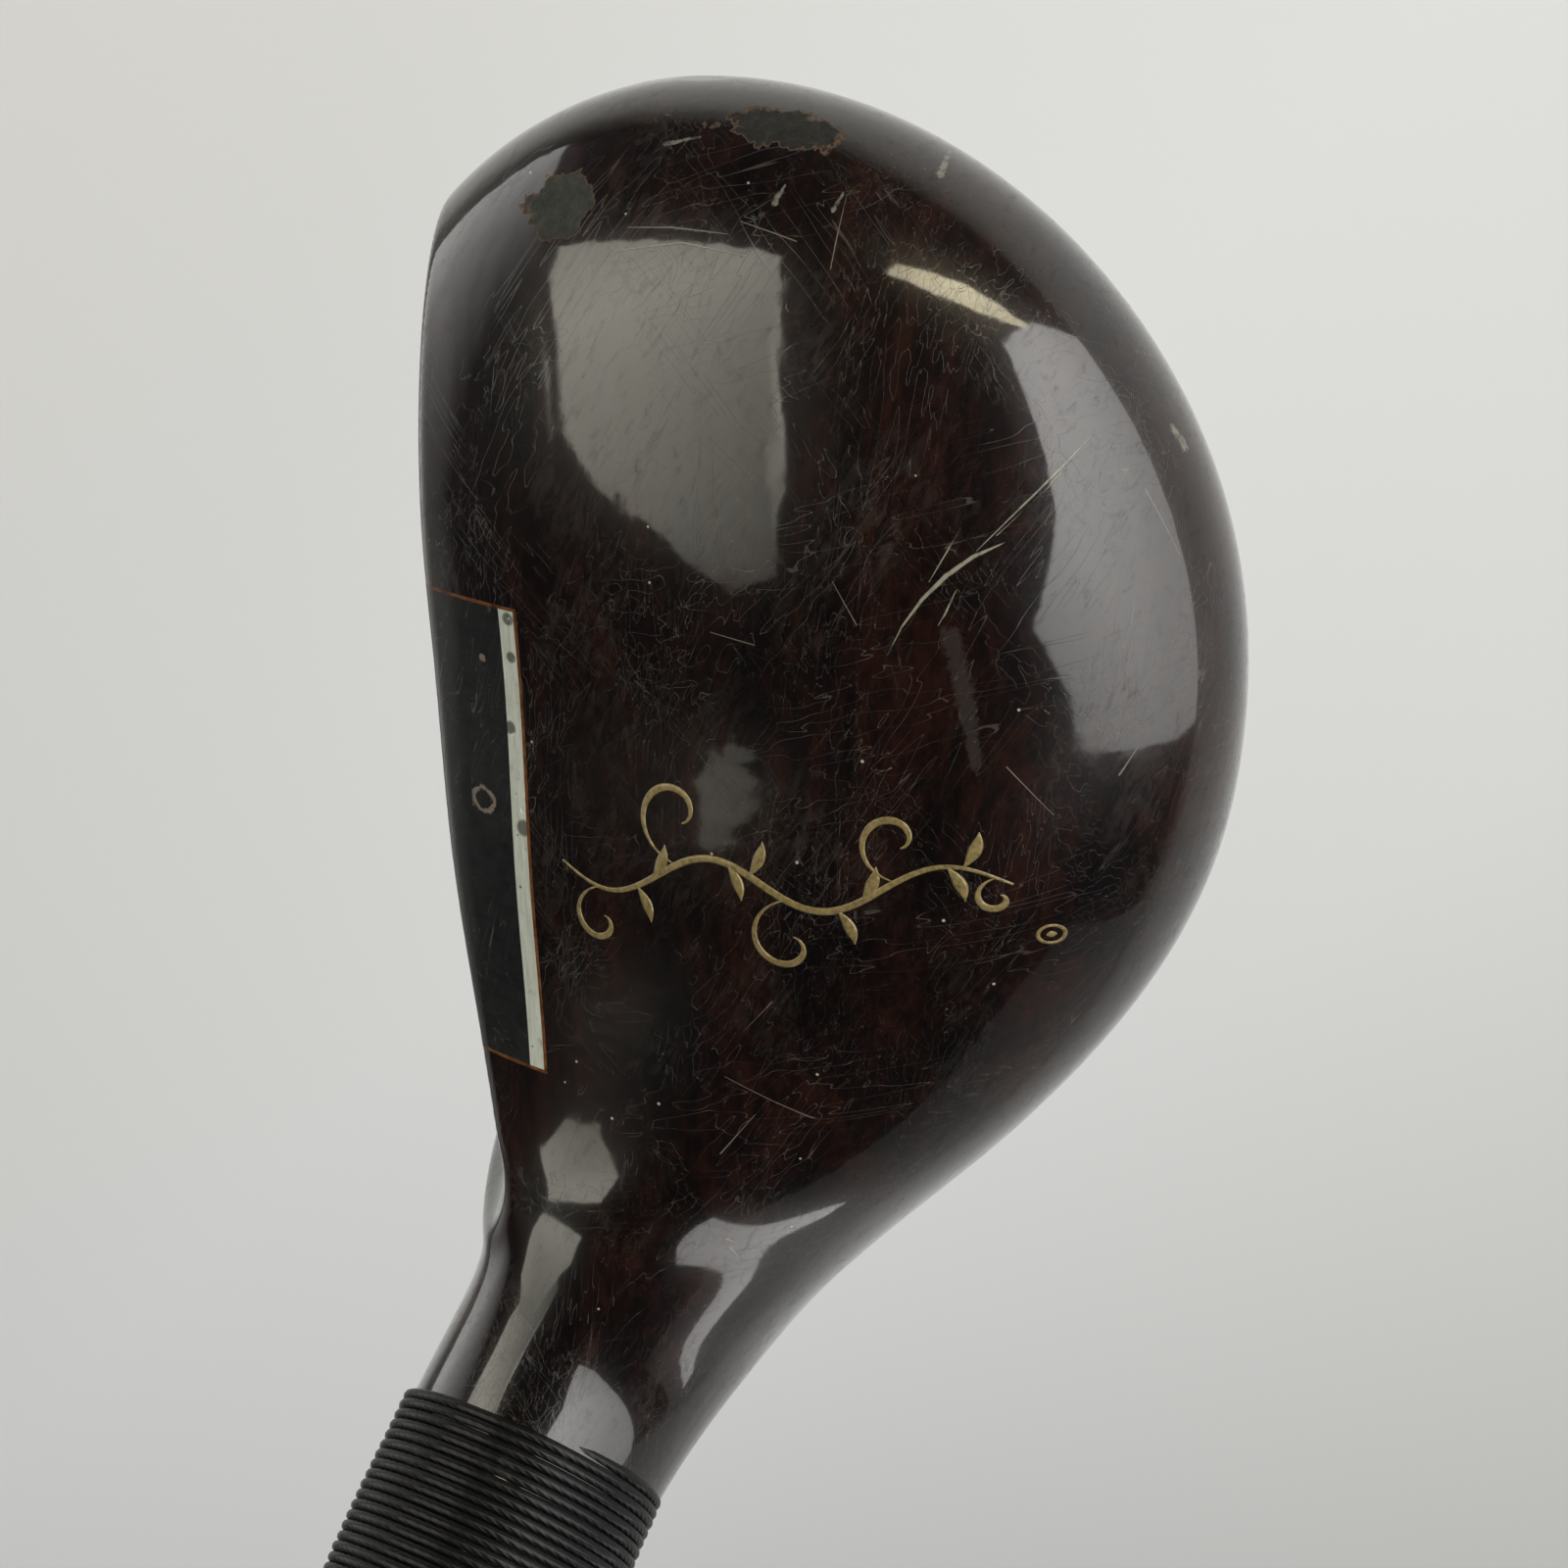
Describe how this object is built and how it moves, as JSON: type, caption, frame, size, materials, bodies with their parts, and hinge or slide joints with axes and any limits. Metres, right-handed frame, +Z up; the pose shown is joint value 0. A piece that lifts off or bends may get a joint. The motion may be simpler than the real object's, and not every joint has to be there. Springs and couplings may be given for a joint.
{
  "type": "fairway wood",
  "caption": "Golf fairway wood with a solid wooden head, face insert, sole plate, thread-bound neck, stepped steel shaft and rubber grip.",
  "frame": {"origin": "centre of the flat of the sole plate, on the ground with the club in address position", "axes": "+Z up, -Y the way the face looks, -X towards the toe; the shaft rises towards +X at 58 degrees"},
  "size_m": [0.6698, 0.077, 0.9113],
  "materials": {
    "lacquered_wood": "dark red-brown stain under worn clear lacquer",
    "black_fibre": "polished vulcanised fibre",
    "white_fibre": "polished ivory fibre sheet",
    "amber_glue": "cured glue",
    "brass": "satin, slightly tarnished",
    "brushed_alloy": "brushed, scuffed by turf",
    "steel": "satin",
    "lead": "cast lead",
    "chrome_shaft": "polished chrome plate",
    "bare_wood": "unfinished hardwood",
    "black_thread": "waxed black thread",
    "black_plastic": "polished",
    "paper_tape": "masking tape",
    "grip_rubber": "moulded, matte"
  },
  "bodies": {
    "root": {"head": "lacquered_wood", "face_insert": "black_fibre", "insert_spacer": "white_fibre", "insert_bedding": "amber_glue", "face_insert_screws": "brass", "sole_plate": "brushed_alloy", "sole_plate_screws": "steel", "sole_weight": "lead", "shaft": "chrome_shaft", "shaft_plug": "bare_wood", "neck_pin": "steel", "whipping": "black_thread", "neck_collar": "black_plastic", "grip_tape": "paper_tape", "grip": "grip_rubber"}
  },
  "joints": []
}
